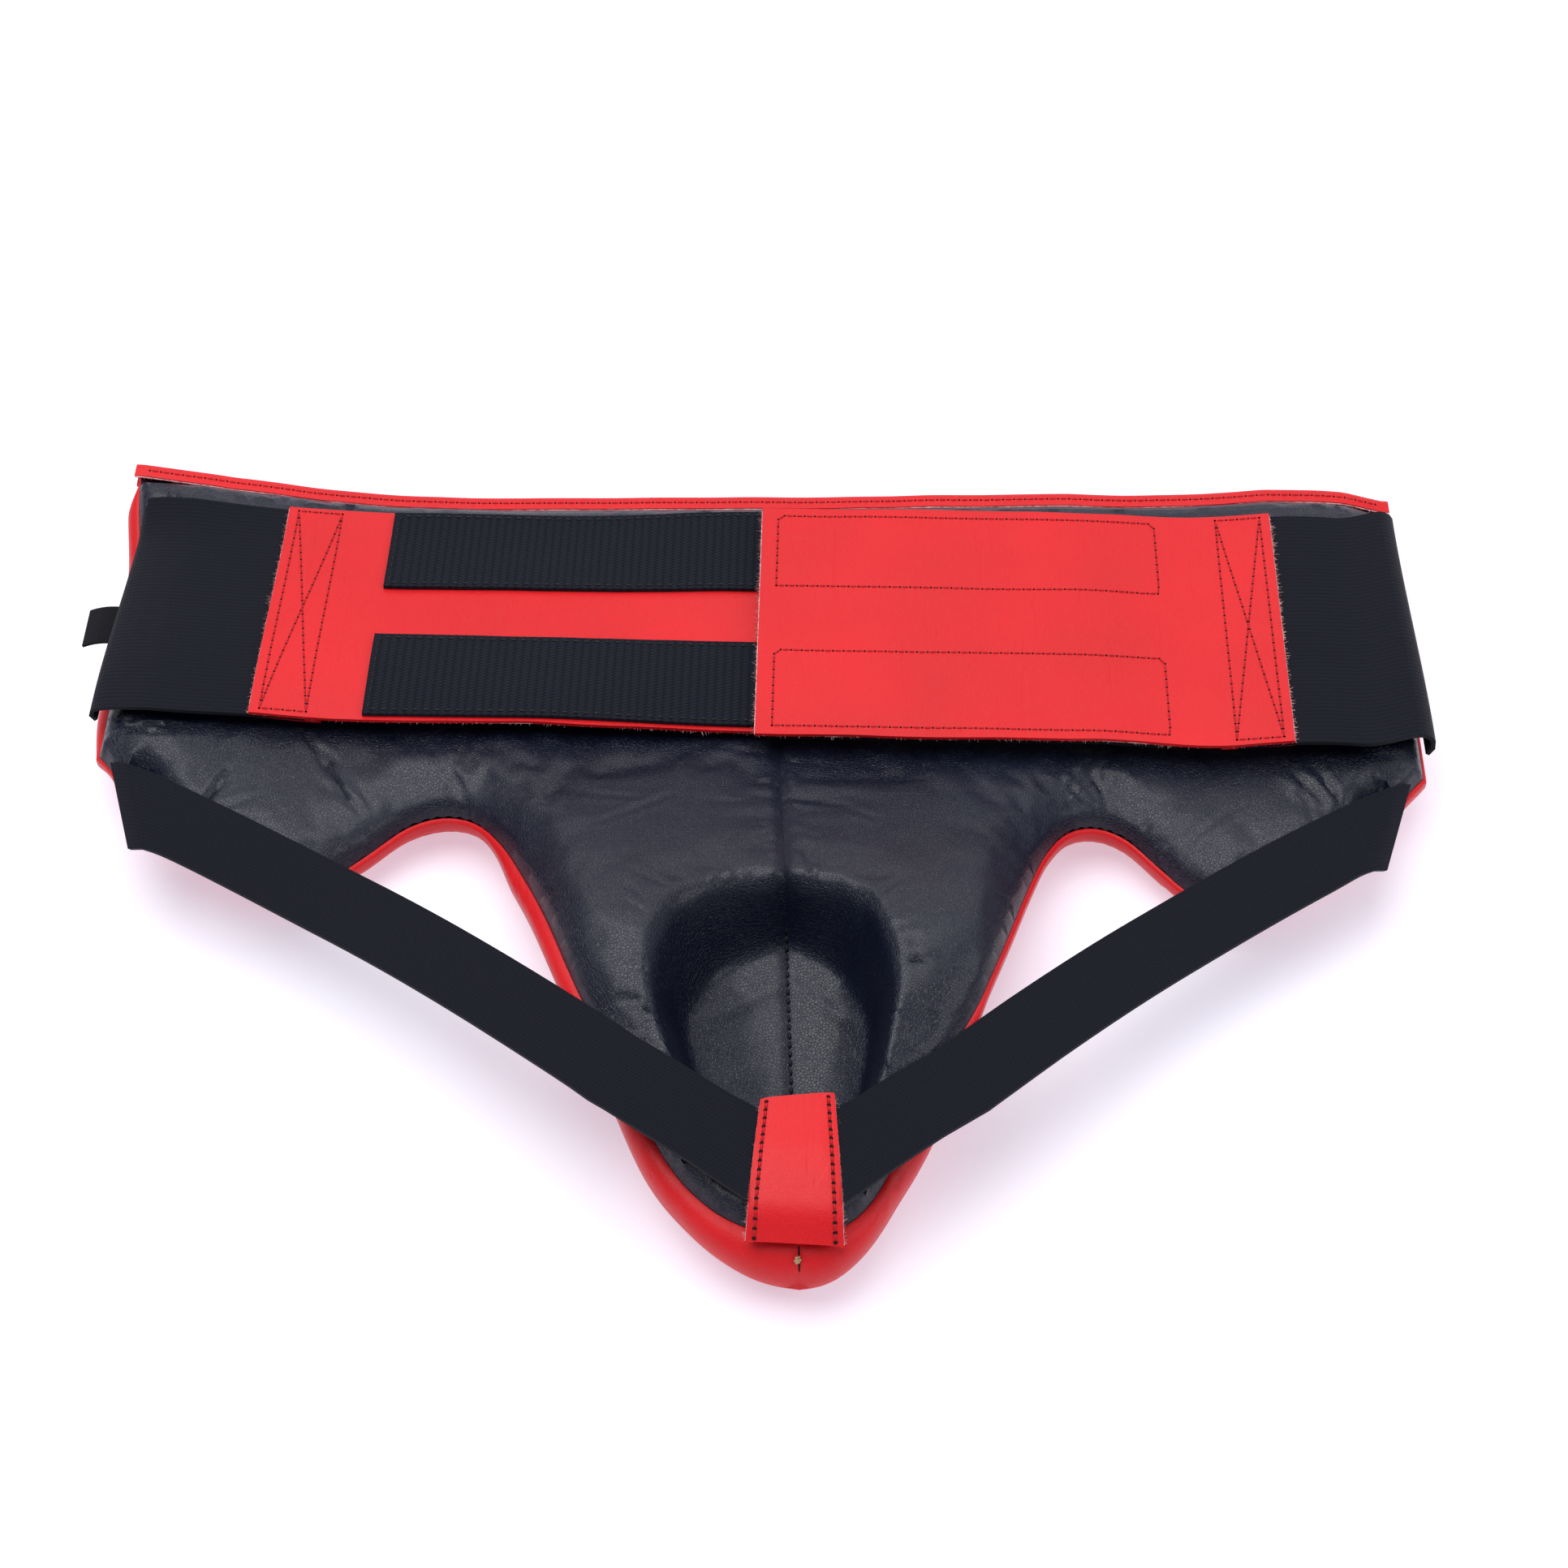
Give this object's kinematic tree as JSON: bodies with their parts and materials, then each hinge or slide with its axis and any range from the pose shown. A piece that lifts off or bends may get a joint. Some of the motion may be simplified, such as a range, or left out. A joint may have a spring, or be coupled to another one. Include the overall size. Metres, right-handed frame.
{
  "type": "groin protector",
  "caption": "Padded boxing groin guard with waist wings, leg cut-outs, a cup hollow, an elastic hook-and-loop waist belt and two elastic leg straps.",
  "frame": {"origin": "middle of the footprint, on the surface that the padded front lies on", "axes": "+Z out of the lining, +Y towards the waist edge, +X towards the side whose closure tab lies on top"},
  "size_m": [0.4726, 0.3305, 0.0515],
  "materials": {
    "red_leather": "smooth, satin gloss",
    "black_leather": "smooth, glossy",
    "black_elastic": "fine woven, matt",
    "loop_fabric": "knitted loop pile, matt",
    "hook_tape": "moulded hooks, matt",
    "woven_label": "woven satin",
    "soft_foam": "open-cell foam",
    "dense_foam": "closed-cell foam",
    "cup_plastic": "moulded"
  },
  "bodies": {
    "root": {"outer_cover_left": "red_leather", "outer_cover_right": "red_leather", "lining_left": "black_leather", "lining_right": "black_leather", "top_binding": "red_leather", "soft_foam_wing_left": "soft_foam", "soft_foam_centre": "soft_foam", "soft_foam_wing_right": "soft_foam", "dense_foam_wing_left": "dense_foam", "dense_foam_centre": "dense_foam", "dense_foam_wing_right": "dense_foam", "cup_shell": "cup_plastic", "cup_rim_cushion": "dense_foam", "cup_front_pad": "soft_foam", "leg_strap_left": "black_elastic", "leg_strap_right": "black_elastic", "woven_label": "woven_label"},
    "band_right": {"elastic_band_right": "black_elastic"},
    "tab_right": {"closure_tab_right_back": "red_leather", "closure_tab_right_front": "red_leather", "hook_strip_upper": "hook_tape", "hook_strip_lower": "hook_tape"},
    "band_left": {"elastic_band_left": "black_elastic"},
    "tab_left": {"closure_tab_left_back": "red_leather", "closure_tab_left_front": "red_leather", "loop_strip_upper": "loop_fabric", "loop_strip_lower": "loop_fabric"},
    "crotch_tab": {"crotch_tab_back": "red_leather", "crotch_tab_front": "red_leather", "strap_bridge": "black_elastic"}
  },
  "joints": [
    {"name": "belt_right_open", "type": "hinge", "parent": "root", "child": "band_right", "pos_m": [0.2339, 0.0902, 0.0178], "axis": [0, 1, 0], "range_deg": [0, 150]},
    {"name": "belt_right_stretch", "type": "slide", "parent": "band_right", "child": "tab_right", "axis": [-1, 0, 0], "range_m": [0, 0.04], "stiffness_N_per_m": 400},
    {"name": "belt_left_open", "type": "hinge", "parent": "root", "child": "band_left", "pos_m": [-0.2185, 0.0902, 0.0178], "axis": [0, -1, 0], "range_deg": [0, 75]},
    {"name": "belt_left_stretch", "type": "slide", "parent": "band_left", "child": "tab_left", "axis": [1, 0, 0], "range_m": [0, 0.04], "stiffness_N_per_m": 400},
    {"name": "crotch_tab_lift", "type": "hinge", "parent": "root", "child": "crotch_tab", "pos_m": [0.0232, -0.1583, 0.0312], "axis": [1, 0, 0], "range_deg": [0, 80]}
  ],
  "couplings": [
    {"joint": "belt_left_open", "follows": "belt_right_open", "ratio": 0.5}
  ]
}
